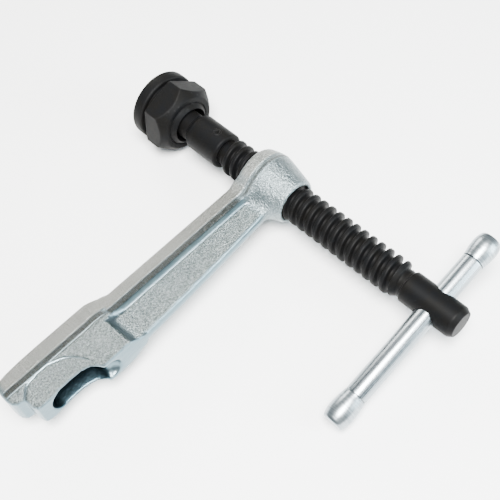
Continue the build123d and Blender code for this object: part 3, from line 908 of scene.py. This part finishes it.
class ClampSizes(bpy.types.PropertyGroup):
    arm_step: length_property("Arm grid", "Sampling step of the forging's surface", 0.8 * MM)
    fine_step: length_property("Fine grid", "Sampling step of the small machined pieces", 0.4 * MM)
    cap_start_radius: length_property(
        "Cap start radius", "Radius of an end cap where it meets the bar", 6.4 * MM
    )
    cap_bulge_radius: length_property("Cap bulge radius", "Largest radius of an end cap", 7.34 * MM)
    cap_end_radius: length_property("Cap end radius", "Radius of an end cap near its end face", 6.35 * MM)


def finishes():
    """The colours set in the panel."""
    return bpy.context.scene.clamp_finishes


def sizes():
    """The sizes set in the panel."""
    return bpy.context.scene.clamp_sizes


class CLAMP_OT_arm(bpy.types.Operator):
    """Forged arm with its boss, beam and slotted head"""

    bl_idname = "clamp.arm"
    bl_label = "Arm"

    def execute(self, context):
        step = sizes().arm_step / MM
        low = (ARM_FRONT_X - 2 * step, -ARM_LENGTH - 2 * step, -BOSS_R - 2 * step)
        high = (ARM_REAR_X + 2 * step, BOSS_R + 2 * step, BOSS_R + 2 * step)
        points, quads = level_surface(arm_field, low, high, step)
        lean = gradient(arm_field, points, 0.3)
        normals = lean / np.linalg.norm(lean, axis=1)[:, None]
        make_piece(
            "forged_arm",
            points,
            quads,
            "arm",
            zinc_forging(finishes()),
            ["arm"],
            arm_layers(points, normals),
            weld=False,
        )
        return {"FINISHED"}


class CLAMP_OT_spindle(bpy.types.Operator):
    """Screw with its journal, trapezoidal thread and drilled head"""

    bl_idname = "clamp.spindle"
    bl_label = "Spindle"

    def execute(self, context):
        thread_black = black_oxide(finishes(), "black_thread", (2.2, 0.25, 0.25), 0.36)
        first_x = THREAD_START_X - 1.6
        last_x = HEAD_START_X - 1.0
        points, quads = thread_surface(first_x, last_x)
        make_piece("spindle_thread", points, quads, "screw", thread_black, ["spindle"])
        journal = rounded(
            (
                (first_x - 20.0, 0.0),
                (first_x - 20.0, JOURNAL_R),
                (SLEEVE_REAR_X - 0.6, JOURNAL_R),
                (SLEEVE_REAR_X + 0.2, RELIEF_R),
                (first_x + 0.4, THREAD_ROOT_R - 0.01),
                (first_x + 0.4, 0.0),
            ),
            0.25,
        )
        points, quads = lathe(journal)
        make_piece("spindle_journal", points, quads, "screw", thread_black, [])
        step = sizes().fine_step / MM
        low, high = box_about_axis(HEAD_START_X, SPINDLE_HEAD_X, SPINDLE_HEAD_R, step)
        points, quads = level_surface(head_field, low, high, step)
        make_piece("spindle_head", points, quads, "screw", thread_black, [], weld=False)
        neck_ends = (last_x - 0.6, HEAD_START_X + 0.4)
        neck = ((neck_ends[0], 0.0), *((x, THREAD_ROOT_R) for x in neck_ends), (neck_ends[1], 0.0))
        points, quads = lathe(rounded(neck, 0.05, 3))
        make_piece("spindle_neck", points, quads, "screw", thread_black, [])
        return {"FINISHED"}


class CLAMP_OT_ball_stud(bpy.types.Operator):
    """Sleeve, neck and ball of the stud, with the roll pin that holds it"""

    bl_idname = "clamp.ball_stud"
    bl_label = "Ball stud and pin"

    def execute(self, context):
        turned_black = black_oxide(finishes(), "black_turned", (2.6, 0.2, 0.2), 0.40)
        step = sizes().fine_step / MM
        low, high = box_about_axis(SLEEVE_NOSE_X, SLEEVE_REAR_X, SLEEVE_R, step)
        points, quads = level_surface(sleeve_field, low, high, step)
        nodes = ["ball_stud"]
        make_piece("stud_sleeve", points, quads, "screw", turned_black, nodes, weld=False)
        stations = np.linspace(STUD_TIP_X, STUD_FLANGE_X, 15)
        ball = [(x, ball_radius(STUD_BALL_R, x)) for x in stations]
        outline = np.concatenate(
            (
                [(STUD_TIP_X, 0.0)],
                ball,
                rounded(
                    (
                        (STUD_FLANGE_X, STUD_NECK_R + 4.0),
                        (STUD_FLANGE_X, STUD_NECK_R),
                        (SLEEVE_NOSE_X + 0.5, STUD_NECK_R),
                        (SLEEVE_NOSE_X + 0.5, 0.0),
                    ),
                    (0.0, 2.6, 0.05, 0.0),
                ),
            )
        )
        points, quads = lathe(outline)
        make_piece("stud_ball", points, quads, "screw", turned_black, [])
        steel = black_oxide(finishes(), "pin_steel", (0.6, 0.6, 1.5), 0.30)
        points, quads = roll_pin_surface()
        make_piece("slit_pin", points, quads, "screw", steel, ["roll_pin"])
        return {"FINISHED"}


def roll_pin_surface():
    """Rolled pin: a closed C-shaped ring section, with rounded ends, carried straight
    along the pin's axis: outer and inner arcs stop short of the slit on each side."""
    half_slit = PIN_SLIT_HALF / PIN_R
    arc = np.linspace(half_slit, 2 * math.pi - half_slit, 41)
    rim = PIN_RIM
    outer = [(PIN_R - rim, -1.0), (PIN_R, -1.0 + rim), (PIN_R, 1.0 - rim), (PIN_R - rim, 1.0)]
    inner_start, inner_wall = PIN_BORE_R + rim, PIN_BORE_R
    inner = [(inner_start, 1.0), (inner_wall, 1.0 - rim), (inner_wall, -1.0 + rim), (inner_start, -1.0)]
    section = np.array(outer + inner)
    reach = np.sign(section[:, 1]) * (PIN_HALF_LENGTH - (1.0 - np.abs(section[:, 1])))
    side = np.outer(np.cos(arc), section[:, 0])
    across = np.outer(np.sin(arc), section[:, 0])
    along = np.broadcast_to(reach, side.shape)
    y = along * math.cos(PIN_ANGLE) - across * math.sin(PIN_ANGLE)
    z = along * math.sin(PIN_ANGLE) + across * math.cos(PIN_ANGLE)
    points = np.stack([PIN_X + side, y, z], axis=-1).reshape(-1, 3)
    count = len(section)
    quads = grid_quads(len(arc), count, closed=True)
    last = (len(arc) - 1) * count
    ends = []
    for base in (0, last):
        pairs = np.arange(count // 2 - 1)
        opposite = base + count - 1 - pairs
        ends.append(np.stack([base + pairs, base + pairs + 1, opposite - 1, opposite], axis=-1))
    return points, np.concatenate([quads, *ends])


class CLAMP_OT_pad(bpy.types.Operator):
    """Swivel ring, gland nut and pressure disc"""

    bl_idname = "clamp.pad"
    bl_label = "Swivel pad"

    def execute(self, context):
        pad_black = black_oxide(finishes(), "black_pad", (0.9, 0.25, 0.25), 0.42)
        front_x = STUD_FLANGE_X + 0.05
        stations = np.linspace(front_x, SWIVEL_REAR_X, 12)
        dome = [(x, ball_radius(SWIVEL_R, x)) for x in stations]
        outline = np.concatenate((dome, [(SWIVEL_REAR_X, SWIVEL_BORE_R), (front_x, SWIVEL_BORE_R), dome[0]]))
        points, quads = lathe(rounded(outline, 0.25, 3))
        make_piece("domed_ring", points, quads, "swivel", pad_black, ["swivel_ring"])
        step = sizes().fine_step / MM
        low, high = box_about_axis(NUT_FRONT_X, NUT_REAR_X, NUT_CORNER_R, step)
        points, quads = level_surface(nut_field, low, high, step)
        make_piece("hex_nut", points, quads, "pad", pad_black, ["gland_nut"], weld=False)
        cup = [(x, ball_radius(STUD_BALL_R + BALL_FIT, x)) for x in np.linspace(DISC_END_X, CUP_FLOOR_X, 12)]
        corners = np.concatenate(
            (
                [
                    (DISC_FRONT_X, 0.0),
                    (DISC_FRONT_X, DISC_R),
                    (DISC_REAR_X, DISC_R),
                    (DISC_REAR_X, DISC_BOSS_R),
                    (DISC_END_X, DISC_BOSS_R),
                ],
                cup,
                [(cup[-1][0], 0.0)],
            )
        )
        radii = np.array([0, 1.7, 1.4, 0.3, 0.9] + [0.1] * (len(cup) + 1))
        points, quads = lathe(rounded(corners, radii), 128)
        make_piece("round_disc", points, quads, "pad", pad_black, ["pressure_disc"])
        return {"FINISHED"}


CAP_BULGE_AT = 0.62
HANDLE_LONG = 62.6
HANDLE_SHORT = 31.2
LONG_CAP_LENGTH = 18.0
SHORT_CAP_LENGTH = 15.6
CAP_GAP = 0.35
ROD_R = 6.2


def along_handle(points):
    """Turn a lathe shape from the X axis onto the handle's axis, through the cross hole."""
    axis = HANDLE_AXIS / np.linalg.norm(HANDLE_AXIS)
    side = np.array([1.0, 0.0, 0.0])
    third = np.cross(axis, side)
    centre = np.array([HANDLE_X, 0.0, 0.0])
    return centre + points[:, :1] * axis + points[:, 1:2] * side + points[:, 2:3] * third


def cap_outline(length, start_r, bulge_r, end_r):
    """Barrel outline: radius rises as a quarter sine to the bulge, then falls by the
    square of the distance past it, between a chamfered foot and a rounded end."""
    share = np.linspace(0, 1, 25)
    rise = np.sin(np.clip(share / CAP_BULGE_AT, 0, 1) * math.pi / 2)
    fall = np.clip((share - CAP_BULGE_AT) / (1 - CAP_BULGE_AT), 0, 1) ** 2
    radius = start_r + (bulge_r - start_r) * rise - (bulge_r - end_r) * fall
    body = np.stack([CAP_GAP + 0.5 + share * (length - 1.6), radius], axis=1)
    end = CAP_GAP + length
    return np.concatenate(
        (
            [(CAP_GAP, 0.0)],
            rounded(((CAP_GAP, 0.2), (CAP_GAP, start_r), tuple(body[0])), 0.4),
            body[1:-1],
            rounded((tuple(body[-1]), (end, end_r - 0.7), (end, 0.3)), 1.0),
            [(end, 0.0)],
        )
    )


class CLAMP_OT_handle(bpy.types.Operator):
    """Handle bar with its two barrel-shaped end caps"""

    bl_idname = "clamp.handle"
    bl_label = "Handle"

    def execute(self, context):
        rod_zinc = zinc_bar(finishes(), "zinc_bar", True, 0.17)
        cap_zinc = zinc_bar(finishes(), "zinc_cap", False, 0.20)
        rod = rounded(
            (
                (-HANDLE_SHORT, 0.0),
                (-HANDLE_SHORT, ROD_R),
                (HANDLE_LONG, ROD_R),
                (HANDLE_LONG, 0.0),
            ),
            0.35,
        )
        stations = np.linspace(-HANDLE_SHORT + 1, HANDLE_LONG - 1, 24)
        rod = np.concatenate((rod[: len(rod) // 2], [(x, ROD_R) for x in stations], rod[len(rod) // 2 :]))
        points, quads = lathe(rod)
        make_piece("handle_bar", along_handle(points), quads, "handle", rod_zinc, ["handle_rod"])
        group = sizes()
        radii = (group.cap_start_radius / MM, group.cap_bulge_radius / MM, group.cap_end_radius / MM)
        caps = (
            ("long", HANDLE_LONG, LONG_CAP_LENGTH, 1),
            ("short", HANDLE_SHORT, SHORT_CAP_LENGTH, -1),
        )
        for name, start, length, side in caps:
            placed = cap_outline(length, *radii)
            placed[:, 0] = side * (start + placed[:, 0])
            points, quads = lathe(placed)
            surface = along_handle(points)
            nodes = [f"handle_cap_{name}"]
            make_piece(f"barrel_cap_{name}", surface, quads, "handle", cap_zinc, nodes)
        collar = rounded(((-1.0, 0.0), (-1.0, 5.0), (1.2, 5.0), (1.2, 0.0)), 0.1)
        cores = (("joint_core_long", HANDLE_LONG, 1), ("joint_core_short", HANDLE_SHORT, -1))
        for name, start, side in cores:
            placed = collar.copy()
            placed[:, 0] = side * (start + collar[:, 0])
            points, quads = lathe(placed, 48)
            make_piece(name, along_handle(points), quads, "handle", rod_zinc, [])
        return {"FINISHED"}


CAMERA_LENS = 63.91
CAMERA_OFFSET = (0.2318, -0.1925, 0.4135)
CAMERA_RIGHT = (0.70099, 0.70486, -0.10860)
CAMERA_UP = (-0.55910, 0.63767, 0.52990)
CAMERA_BACK = (0.44275, -0.31073, 0.84108)
LIGHTS = (
    ("top", (0.30, -0.15, 1.0), (0.5, 0.5), 72.0, (1.0, 0.99, 0.97)),
    ("side", (0.90, 0.45, 0.30), (0.3, 0.9), 22.0, (0.80, 0.94, 1.0)),
    ("front", (-0.85, 0.35, 0.50), (0.4, 0.4), 7.0, (1.0, 0.97, 0.92)),
)


class CLAMP_OT_stage(bpy.types.Operator):
    """Pale floor, soft lights and camera"""

    bl_idname = "clamp.stage"
    bl_label = "Stage"

    def execute(self, context):
        low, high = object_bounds()
        middle = (Vector(low) + Vector(high)) / 2
        floor_mesh = bpy.data.meshes.new("floor")
        reach = 6.0
        height = low[2]
        plan = ((-reach, -reach), (reach, -reach), (reach, reach), (-reach, reach))
        corners = [(x, y, height) for x, y in plan]
        floor_mesh.from_pydata(corners, [], [(0, 1, 2, 3)])
        floor = bpy.data.objects.new("floor", floor_mesh)
        context.scene.collection.objects.link(floor)
        pale = Finish("floor_pale")
        floor_mesh.materials.append(pale.set(base_color=tuple(finishes().floor_colour), roughness=0.9))
        floor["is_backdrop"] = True

        world = bpy.data.worlds.new("studio")
        context.scene.world = world
        world.use_nodes = True
        background = world.node_tree.nodes["Background"]
        background.inputs["Color"].default_value = (0.86, 0.95, 1.0, 1)
        background.inputs["Strength"].default_value = 0.5

        for name, place, size, power, tint in LIGHTS:
            light = bpy.data.lights.new(name, "AREA")
            light.shape = "RECTANGLE"
            light.size, light.size_y = size
            light.energy = power
            light.color = tint
            lamp = bpy.data.objects.new(name, light)
            context.scene.collection.objects.link(lamp)
            lamp.location = middle + Vector(place)
            lamp.rotation_euler = (-Vector(place)).to_track_quat("-Z", "Y").to_euler()

        camera_data = bpy.data.cameras.new("camera")
        camera_data.sensor_width = 36.0
        camera_data.lens = CAMERA_LENS
        camera = bpy.data.objects.new("camera", camera_data)
        context.scene.collection.objects.link(camera)
        turn = Matrix((CAMERA_RIGHT, CAMERA_UP, CAMERA_BACK)).transposed().to_4x4()
        camera.matrix_world = Matrix.Translation(Vector(SCREW_POINT) + Vector(CAMERA_OFFSET)) @ turn
        context.scene.camera = camera
        return {"FINISHED"}


OPERATORS = (
    CLAMP_OT_arm,
    CLAMP_OT_spindle,
    CLAMP_OT_ball_stud,
    CLAMP_OT_pad,
    CLAMP_OT_handle,
    CLAMP_OT_stage,
)


class CLAMP_PT_panel(bpy.types.Panel):
    """Buttons for the pieces of the clamp arm"""

    bl_idname = "CLAMP_PT_panel"
    bl_label = "Clamp arm"
    bl_space_type = "VIEW_3D"
    bl_region_type = "UI"
    bl_category = "Clamp arm"

    def draw(self, context):
        for group in (context.scene.clamp_sizes, context.scene.clamp_finishes):
            for name in group.__annotations__:
                self.layout.prop(group, name)
        for operator in OPERATORS:
            self.layout.operator(operator.bl_idname)


CLASSES = (ClampFinishes, ClampSizes, *OPERATORS, CLAMP_PT_panel)


def register():
    """Add the classes and their settings."""
    for cls in CLASSES:
        bpy.utils.register_class(cls)
    bpy.types.Scene.clamp_finishes = bpy.props.PointerProperty(type=ClampFinishes)
    bpy.types.Scene.clamp_sizes = bpy.props.PointerProperty(type=ClampSizes)


def unregister():
    """Remove the settings and the classes."""
    del bpy.types.Scene.clamp_sizes
    del bpy.types.Scene.clamp_finishes
    for cls in reversed(CLASSES):
        bpy.utils.unregister_class(cls)


def main():
    """Build every piece and the stage."""
    register()
    for operator in OPERATORS:
        group, name = operator.bl_idname.split(".")
        getattr(getattr(bpy.ops, group), name)()


if __name__ == "__main__":
    main()
